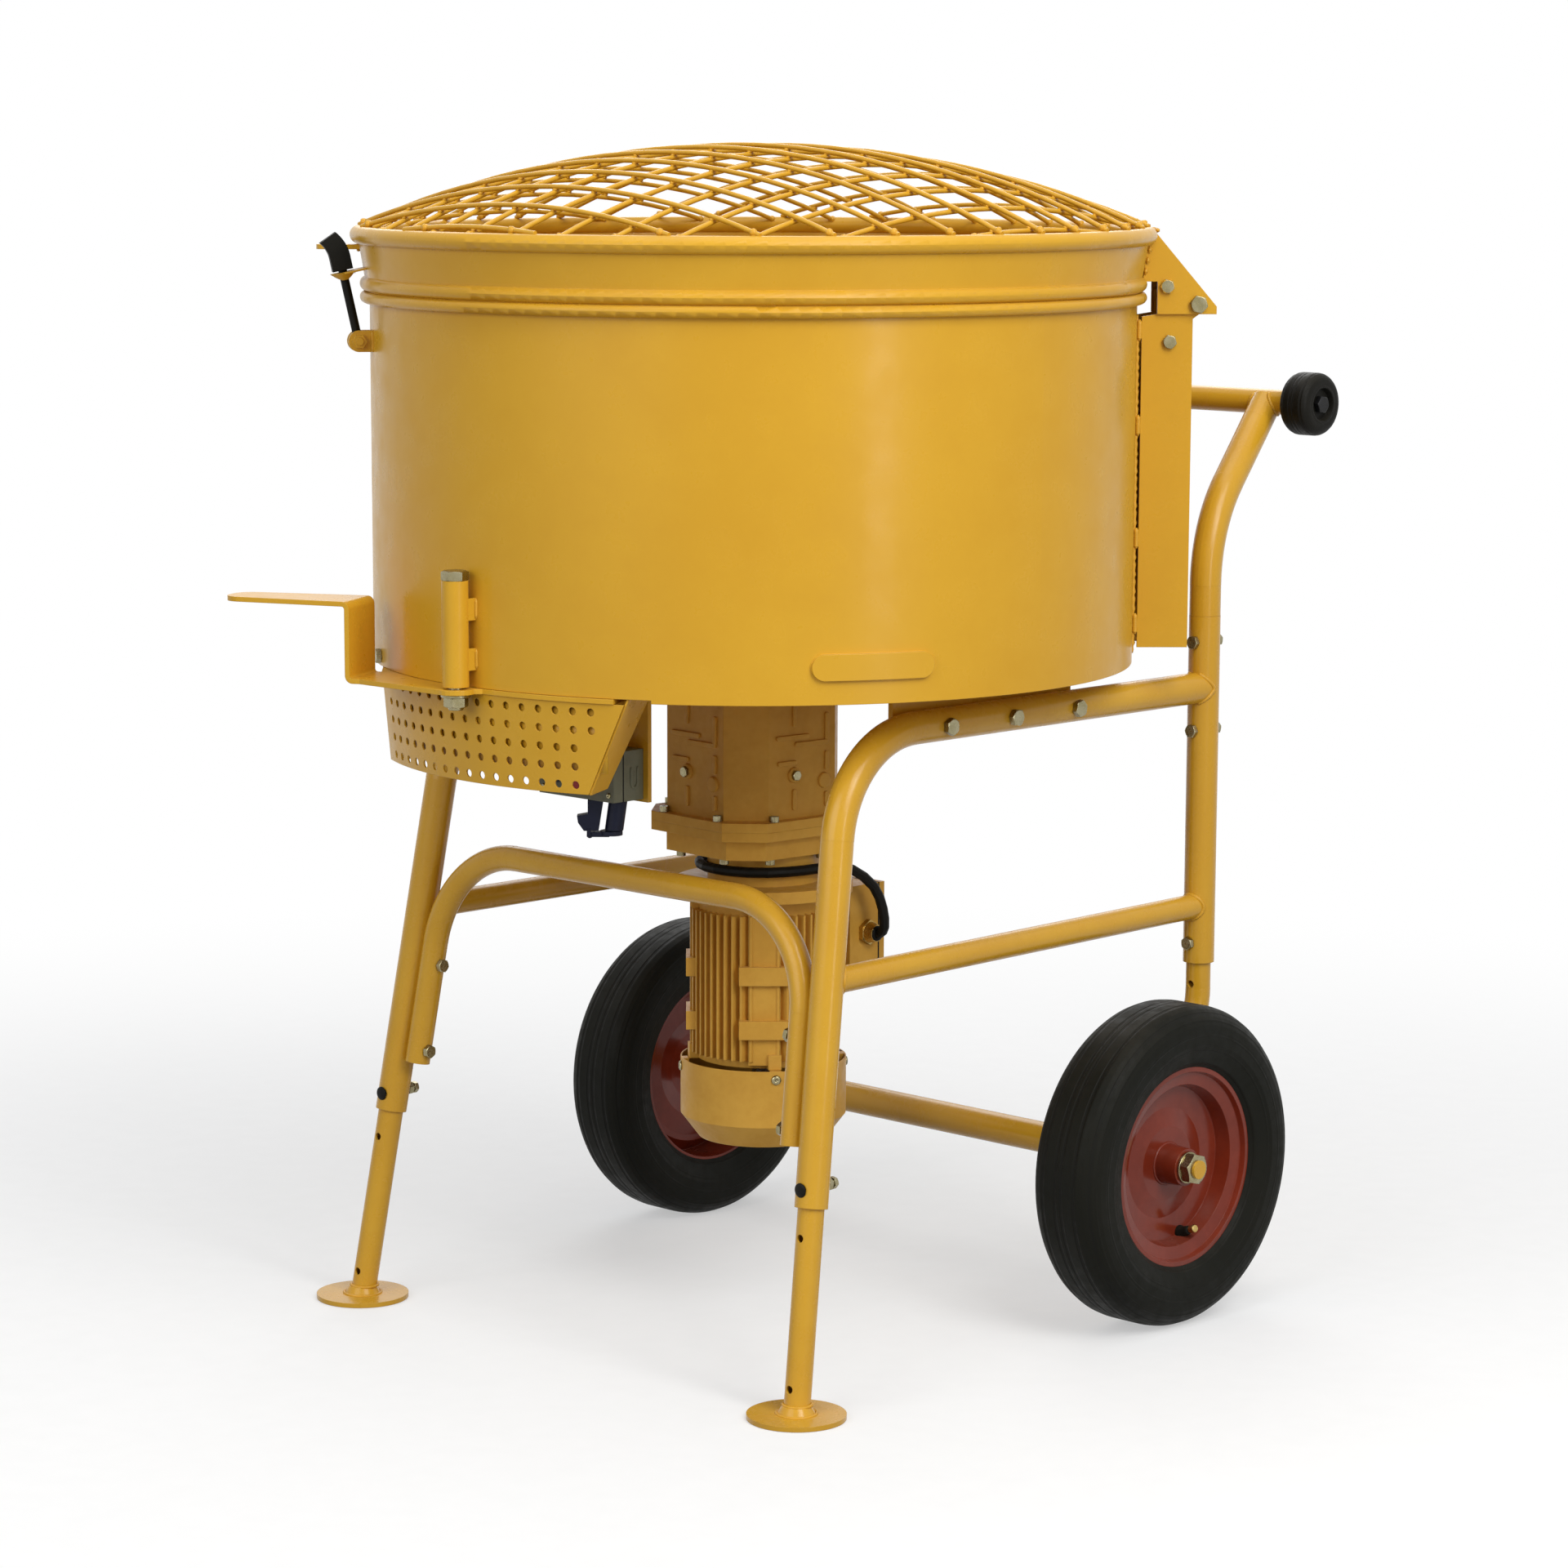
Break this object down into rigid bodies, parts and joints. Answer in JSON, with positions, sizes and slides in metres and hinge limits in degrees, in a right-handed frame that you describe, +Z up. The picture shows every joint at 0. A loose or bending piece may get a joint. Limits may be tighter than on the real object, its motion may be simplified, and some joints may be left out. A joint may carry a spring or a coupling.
{
  "type": "drum concrete mixer",
  "caption": "Forced-action drum mixer: upright drum with a hinged safety grid, swing-out floor hatch, geared electric drive below and a wheeled tube frame with telescopic legs.",
  "frame": {"origin": "on the ground, at the middle of the machine's extents", "axes": "+Z up; the feet and the discharge hatch stand towards -Y, the wheels and the handle towards +Y; +X is the machine's right side, along the axle"},
  "size_m": [0.8396, 1.0545, 1.2468],
  "materials": {
    "yellow_paint": "semi-gloss enamel, golden yellow",
    "rim_paint": "semi-gloss enamel, red-orange",
    "zinc": "yellowish zinc plating",
    "steel": "machined",
    "worn_steel": "worn bare steel",
    "black_steel": "black oxide",
    "brass": "turned",
    "tyre_rubber": "matte",
    "black_rubber": "matte",
    "black_plastic": "matte",
    "box_plastic": "matte grey-green",
    "green_plastic": "gloss",
    "red_plastic": "gloss",
    "navy_plastic": "dark navy"
  },
  "bodies": {
    "machine": {"drum_wall": "yellow_paint", "drum_floor": "yellow_paint", "hinge_column": "yellow_paint", "hinge_bolts": "zinc", "latch_lug": "yellow_paint", "hatch_tube": "yellow_paint", "hatch_hardware": "zinc", "hatch_guard": "yellow_paint", "side_frame_right": "yellow_paint", "side_frame_left": "yellow_paint", "front_hoop": "yellow_paint", "handle_bar": "yellow_paint", "drum_brackets": "yellow_paint", "frame_bolts": "zinc", "roller_bolts": "black_steel", "gearbox_housing": "yellow_paint", "gearbox_cover": "yellow_paint", "flange_screws": "zinc", "drive_bearings": "steel", "motor_adapter": "yellow_paint", "motor_housing": "yellow_paint", "motor_stator": "steel", "fan_cowl": "yellow_paint", "terminal_box": "yellow_paint", "terminal_lid": "yellow_paint", "cable_gland": "brass", "motor_cable": "black_rubber", "control_box": "box_plastic", "box_bracket": "yellow_paint", "mains_inlet": "navy_plastic"},
    "lid": {"grid_collar": "yellow_paint", "grid_mesh": "yellow_paint", "hinge_gusset": "yellow_paint", "lid_tabs": "yellow_paint"},
    "latch": {"latch_stem": "black_rubber"},
    "latch_turn": {"latch_grip": "black_rubber"},
    "hatch": {"hatch_plate": "yellow_paint"},
    "front_leg_right": {"leg_right": "yellow_paint"},
    "front_leg_left": {"leg_left": "yellow_paint"},
    "axle": {"axle_carrier": "yellow_paint", "axle_hardware": "zinc"},
    "wheel_right": {"tyre_right": "tyre_rubber", "rim_right": "rim_paint"},
    "wheel_left": {"tyre_left": "tyre_rubber", "rim_left": "rim_paint"},
    "handle_roller_right": {"roller_right": "black_rubber"},
    "handle_roller_left": {"roller_left": "black_rubber"},
    "mixer": {"mixer_shaft": "steel", "output_gear": "steel", "mixer_hub": "worn_steel", "mixer_arms": "worn_steel", "mixer_paddles": "worn_steel", "wall_scraper": "worn_steel"},
    "gear_cluster": {"layshaft": "steel"},
    "rotor": {"motor_rotor": "steel", "motor_fan": "black_plastic", "input_pinion": "steel"},
    "start_push": {"start_button": "green_plastic"},
    "stop_push": {"stop_button": "red_plastic"},
    "inlet_flap": {"inlet_cap": "navy_plastic"}
  },
  "joints": [
    {"name": "lid_hinge", "type": "hinge", "parent": "machine", "child": "lid", "pos_m": [0.32697, 0.29072, 1.0814], "axis": [-0.7071, 0.7071, 0], "range_deg": [0, 92]},
    {"name": "latch_swing", "type": "hinge", "parent": "machine", "child": "latch", "pos_m": [-0.23746, -0.37537, 1.0444], "axis": [0.8192, -0.5736, 0], "range_deg": [0, 100]},
    {"name": "latch_turn_hinge", "type": "hinge", "parent": "latch", "child": "latch_turn", "pos_m": [-0.24819, -0.3907, 1.13243], "axis": [-0.1193, -0.1703, 0.9781], "range_deg": [0, 90]},
    {"name": "hatch_pivot", "type": "hinge", "parent": "machine", "child": "hatch", "pos_m": [-0.00438, -0.45422, 0.709], "axis": [0, 0, 1], "range_deg": [0, 50]},
    {"name": "leg_slide_right", "type": "slide", "parent": "machine", "child": "front_leg_right", "axis": [0.0599, -0.1594, -0.9854], "range_m": [0, 0.14]},
    {"name": "leg_slide_left", "type": "slide", "parent": "machine", "child": "front_leg_left", "axis": [-0.0599, -0.1594, -0.9854], "range_m": [0, 0.14]},
    {"name": "axle_slide", "type": "slide", "parent": "machine", "child": "axle", "axis": [0, 0, -1], "range_m": [0, 0.12]},
    {"name": "wheel_spin_right", "type": "hinge", "parent": "axle", "child": "wheel_right", "pos_m": [0.3518, 0.23096, 0.173], "axis": [1, 0, 0], "continuous": true},
    {"name": "wheel_spin_left", "type": "hinge", "parent": "axle", "child": "wheel_left", "pos_m": [-0.3518, 0.23096, 0.173], "axis": [1, 0, 0], "continuous": true},
    {"name": "roller_spin_right", "type": "hinge", "parent": "machine", "child": "handle_roller_right", "pos_m": [0.325, 0.49326, 0.967], "axis": [1, 0, 0], "continuous": true},
    {"name": "roller_spin_left", "type": "hinge", "parent": "machine", "child": "handle_roller_left", "pos_m": [-0.325, 0.49326, 0.967], "axis": [1, 0, 0], "continuous": true},
    {"name": "mixer_spin", "type": "hinge", "parent": "machine", "child": "mixer", "pos_m": [0, -0.03624, 0.76], "axis": [0, 0, 1], "continuous": true},
    {"name": "layshaft_spin", "type": "hinge", "parent": "machine", "child": "gear_cluster", "pos_m": [0.01834, 0.00681, 0.59], "axis": [0, 0, 1], "continuous": true},
    {"name": "rotor_spin", "type": "hinge", "parent": "machine", "child": "rotor", "pos_m": [0.0086, -0.02784, 0.4], "axis": [0, 0, 1], "continuous": true},
    {"name": "start_press", "type": "slide", "parent": "machine", "child": "start_push", "axis": [0, 1, 0], "range_m": [0, 0.0035], "stiffness_N_per_m": 500},
    {"name": "stop_press", "type": "slide", "parent": "machine", "child": "stop_push", "axis": [0, 1, 0], "range_m": [0, 0.0035], "stiffness_N_per_m": 500},
    {"name": "inlet_flap_hinge", "type": "hinge", "parent": "machine", "child": "inlet_flap", "pos_m": [0.01205, -0.28675, 0.548], "axis": [-0.6947, 0.7193, 0], "range_deg": [0, 95], "stiffness_Nm_per_rad": 0.006, "springref_deg": -28.65}
  ],
  "couplings": [
    {"joint": "layshaft_spin", "follows": "mixer_spin", "ratio": -5.5},
    {"joint": "rotor_spin", "follows": "mixer_spin", "ratio": 27.5}
  ]
}
